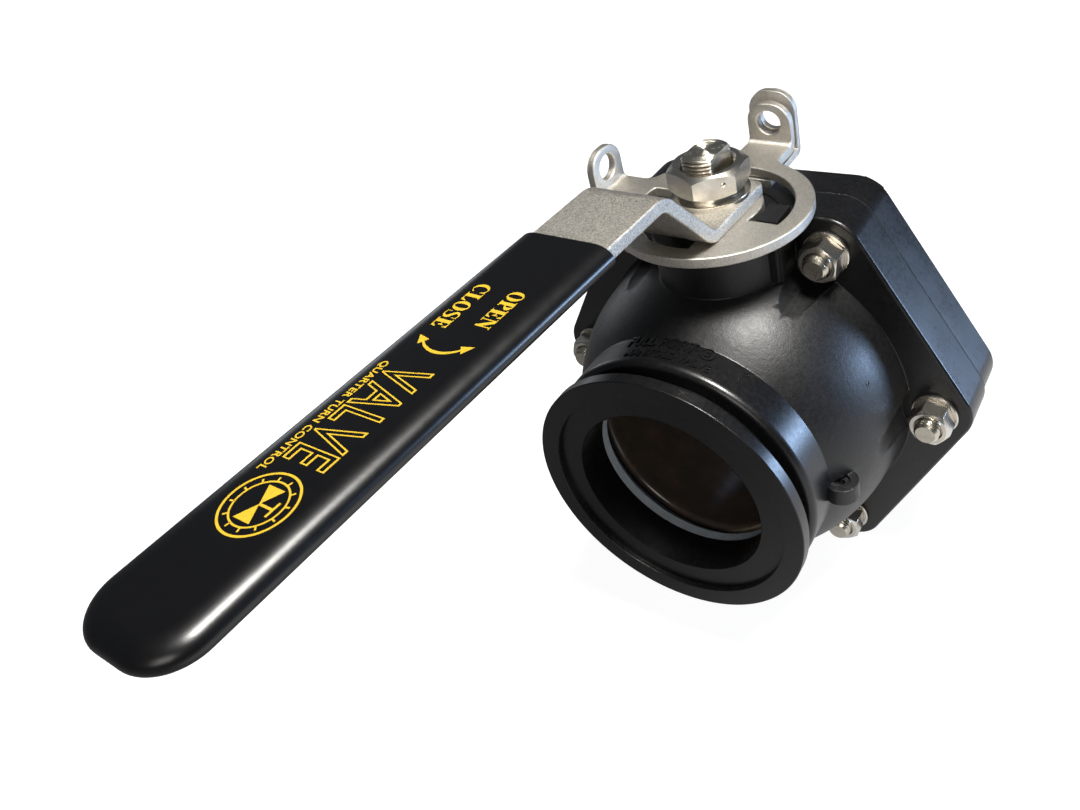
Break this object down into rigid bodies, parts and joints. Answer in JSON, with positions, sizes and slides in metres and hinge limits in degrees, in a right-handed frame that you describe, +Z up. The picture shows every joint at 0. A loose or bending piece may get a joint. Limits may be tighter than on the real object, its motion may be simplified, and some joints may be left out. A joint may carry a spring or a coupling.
{
  "type": "manifold ball valve",
  "caption": "Full-port manifold ball valve with clamped flange ends, bolted six-sided shell, stop plate with lock ears and a bent lever handle with a dipped grip.",
  "frame": {"origin": "centre of the front pipe face, on the axis of the pipe", "axes": "+Y along the pipe from the front face to the back, +Z up along the stem, +X to the right seen from the front"},
  "size_m": [0.1802, 0.3022, 0.2001],
  "materials": {
    "body_plastic": "moulded black, fine grain",
    "ball_plastic": "polished dark olive",
    "seat_plastic": "smooth bluish white",
    "seal_rubber": "matte black",
    "sheet_steel": "tumbled stainless sheet",
    "bar_steel": "tumbled stainless bar",
    "nut_steel": "bright stainless",
    "bolt_steel": "warm stainless, turned ends",
    "stem_steel": "machined stainless",
    "grip_vinyl": "glossy black dipped vinyl with printed yellow words"
  },
  "bodies": {
    "housing": {"valve_body": "body_plastic", "end_cap": "body_plastic", "body_o_ring": "seal_rubber", "front_seat": "seat_plastic", "rear_seat": "seat_plastic", "front_seat_o_ring": "seal_rubber", "rear_seat_o_ring": "seal_rubber", "flange_bolts": "bolt_steel", "bolt_nuts": "nut_steel", "nut_washers": "nut_steel", "head_washers": "nut_steel", "stem_bushing": "seat_plastic", "lock_bracket": "sheet_steel", "bracket_screws": "nut_steel"},
    "handle": {"stem": "stem_steel", "stem_o_rings": "seal_rubber", "stem_thrust_washer": "seat_plastic", "stop_plate": "sheet_steel", "handle_bar": "bar_steel", "handle_grip": "grip_vinyl", "flat_washer": "nut_steel", "spring_washer": "nut_steel", "stem_nut": "nut_steel"},
    "ball": {"ball": "ball_plastic"}
  },
  "joints": [
    {"name": "handle_turn", "type": "hinge", "parent": "housing", "child": "handle", "pos_m": [0, 0.0663, 0], "axis": [0, 0, 1], "range_deg": [-87, 3]},
    {"name": "ball_turn", "type": "hinge", "parent": "housing", "child": "ball", "pos_m": [0, 0.0663, 0], "axis": [0, 0, 1], "range_deg": [-87, 3]}
  ],
  "couplings": [
    {"joint": "ball_turn", "follows": "handle_turn", "ratio": 1}
  ]
}
